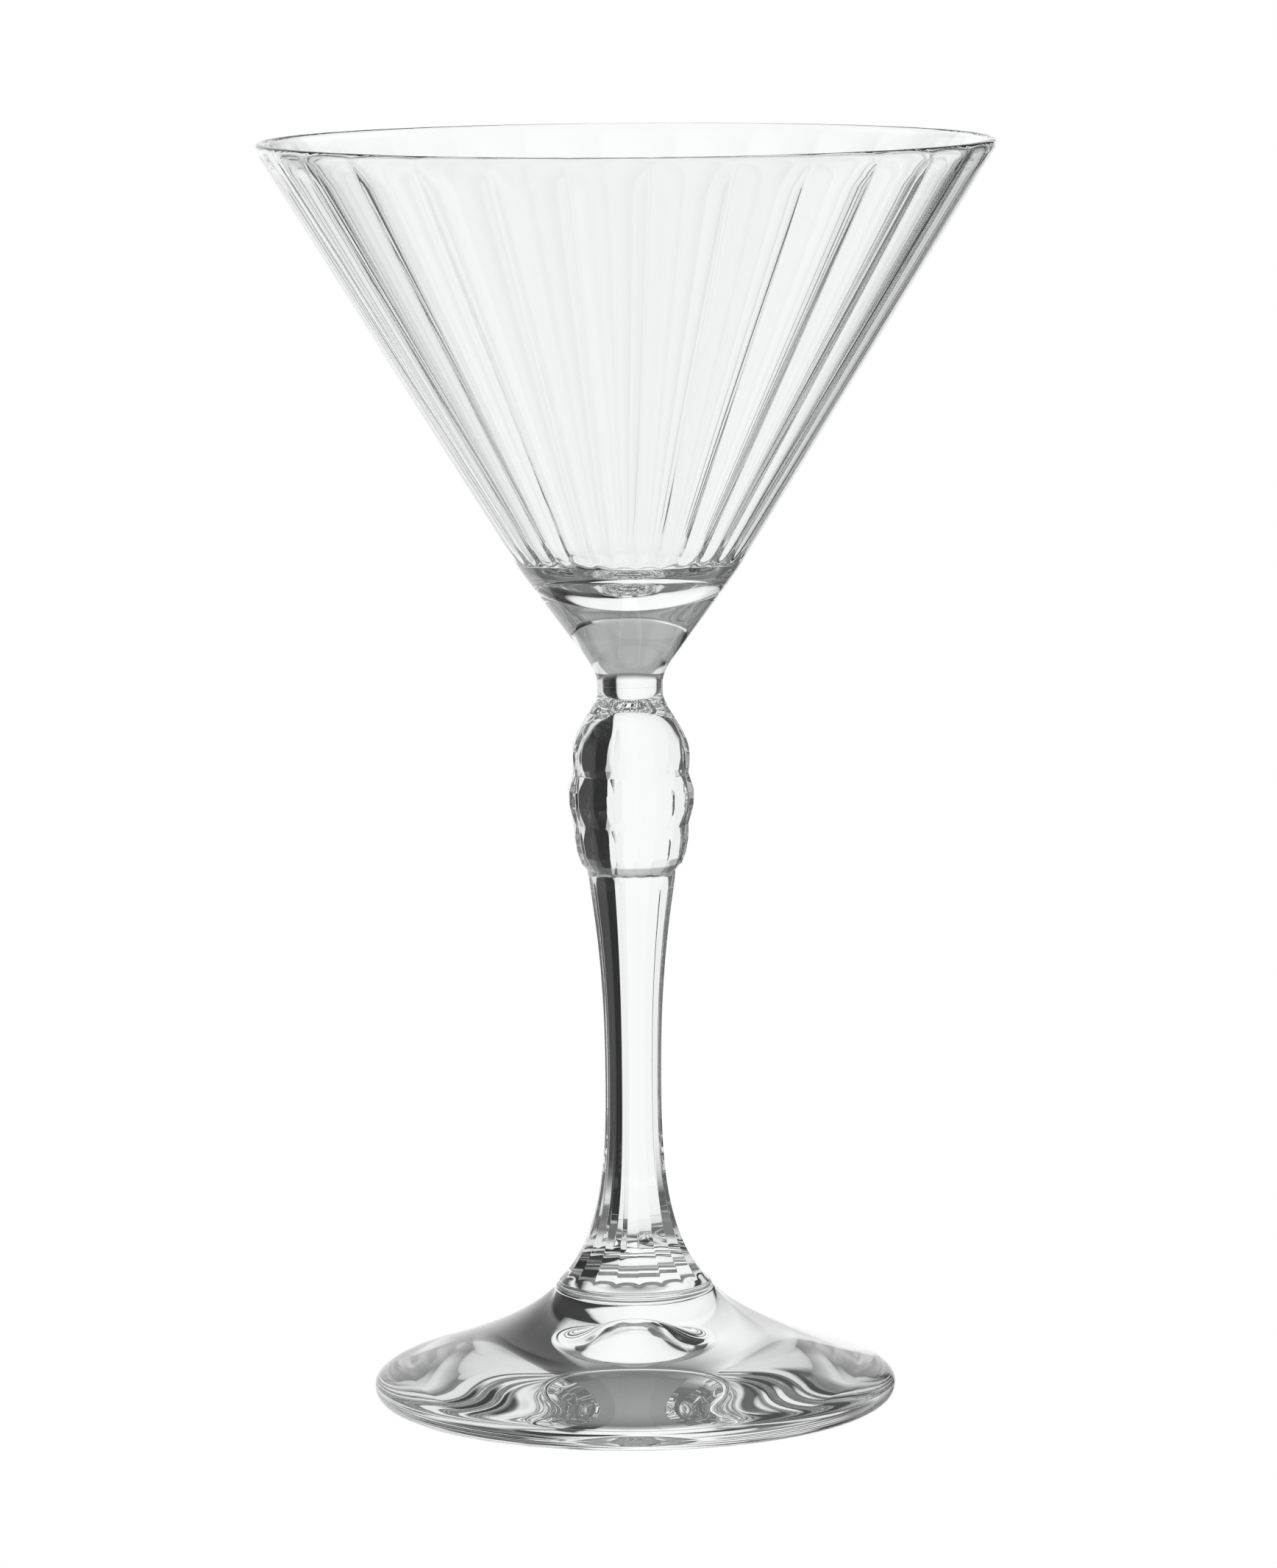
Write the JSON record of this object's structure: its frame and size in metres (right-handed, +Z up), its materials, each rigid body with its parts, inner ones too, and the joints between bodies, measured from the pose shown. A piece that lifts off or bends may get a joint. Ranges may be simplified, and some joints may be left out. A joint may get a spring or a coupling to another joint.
{
  "type": "martini glass",
  "caption": "Clear stemmed cocktail glass: fluted cone bowl, stem with a faceted bead and flat panels, and a round foot with a rounded edge.",
  "frame": {"origin": "centre of the foot's standing ring, on the surface the glass stands on", "axes": "+Z up the stem to the rim; the glass is round about Z, with a panel edge of the stem on -Y and a flute ridge on +X"},
  "size_m": [0.104, 0.104, 0.18],
  "materials": {
    "bowl_glass": "clear, fire-polished soda-lime glass",
    "stem_glass": "clear, pressed and fire-polished soda-lime glass",
    "foot_glass": "clear, fire-polished soda-lime glass"
  },
  "bodies": {
    "root": {"bowl": "bowl_glass", "stem": "stem_glass", "foot": "foot_glass"}
  },
  "joints": []
}
